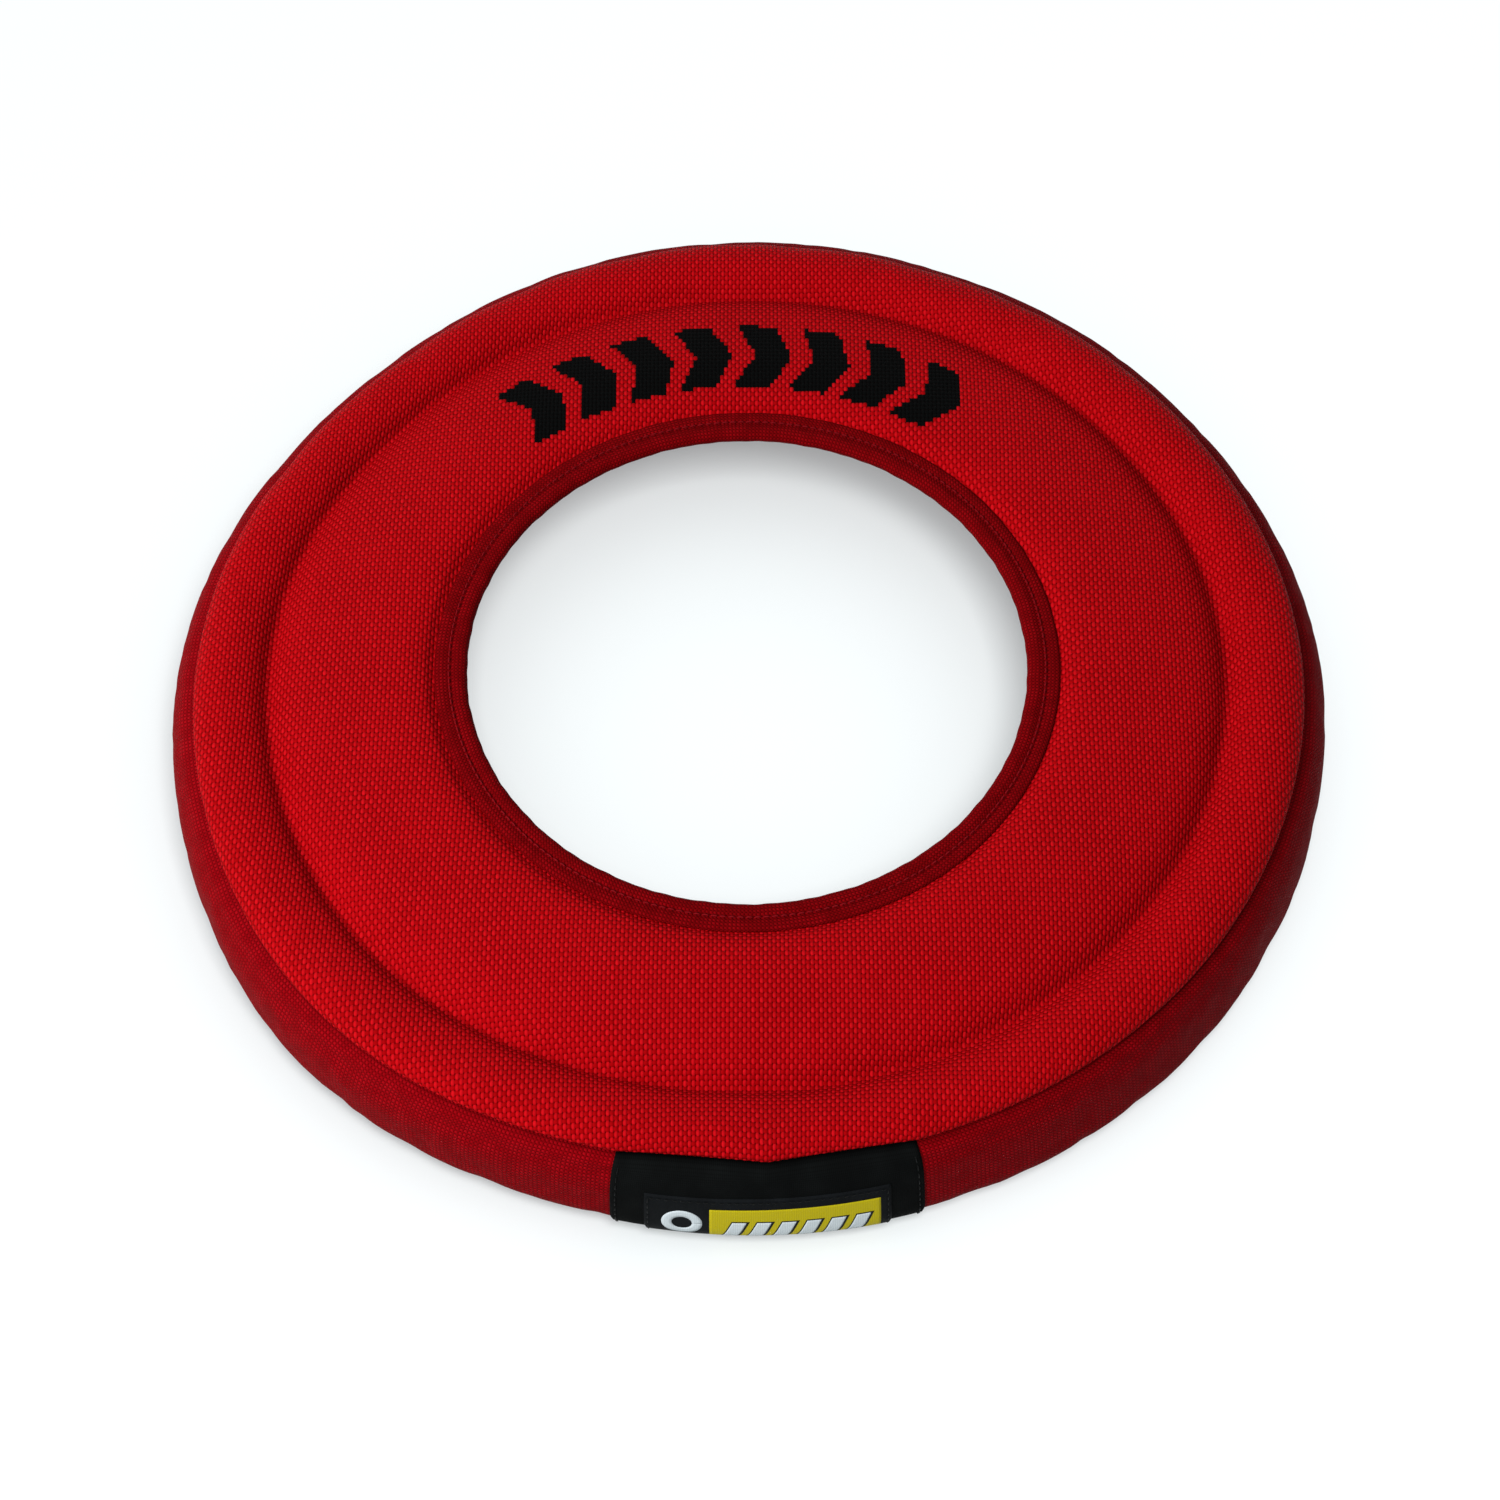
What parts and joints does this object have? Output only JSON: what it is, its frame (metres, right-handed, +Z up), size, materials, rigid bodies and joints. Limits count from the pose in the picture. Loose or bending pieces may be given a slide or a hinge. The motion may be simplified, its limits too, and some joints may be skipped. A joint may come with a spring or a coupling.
{
  "type": "flying ring",
  "caption": "Soft flying ring: deep foam rim, thin foam web and taped centre hole, in sewn fabric with a labelled edge patch.",
  "frame": {"origin": "centre of the ring on the surface that it lies on", "axes": "+Z up out of the top of the ring, -Y towards the patch and label on its edge, +X to the right of the label as it is read"},
  "size_m": [0.28, 0.2818, 0.033],
  "materials": {
    "coarse_red_nylon": "coarse plain weave",
    "fine_red_nylon": "fine weave cut on the bias",
    "red_lining": "fine weave",
    "foam": "closed-cell foam",
    "black_patch": "matte black weave",
    "black_label": "woven label",
    "red_thread": "sewing thread",
    "black_thread": "sewing thread"
  },
  "bodies": {
    "root": {"top_cover": "coarse_red_nylon", "edge_gusset": "fine_red_nylon", "hole_binding": "fine_red_nylon", "inner_wall": "fine_red_nylon", "web_lining": "red_lining", "base_panel": "coarse_red_nylon", "web_foam": "foam", "rim_foam": "foam", "edge_patch": "black_patch", "woven_label": "black_label", "binding_top_thread": "red_thread", "binding_under_thread": "red_thread", "top_seam_thread": "red_thread", "base_outer_thread": "red_thread", "base_inner_thread": "red_thread", "lining_thread": "red_thread", "label_thread": "black_thread", "patch_left_thread": "black_thread", "patch_right_thread": "black_thread"}
  },
  "joints": []
}
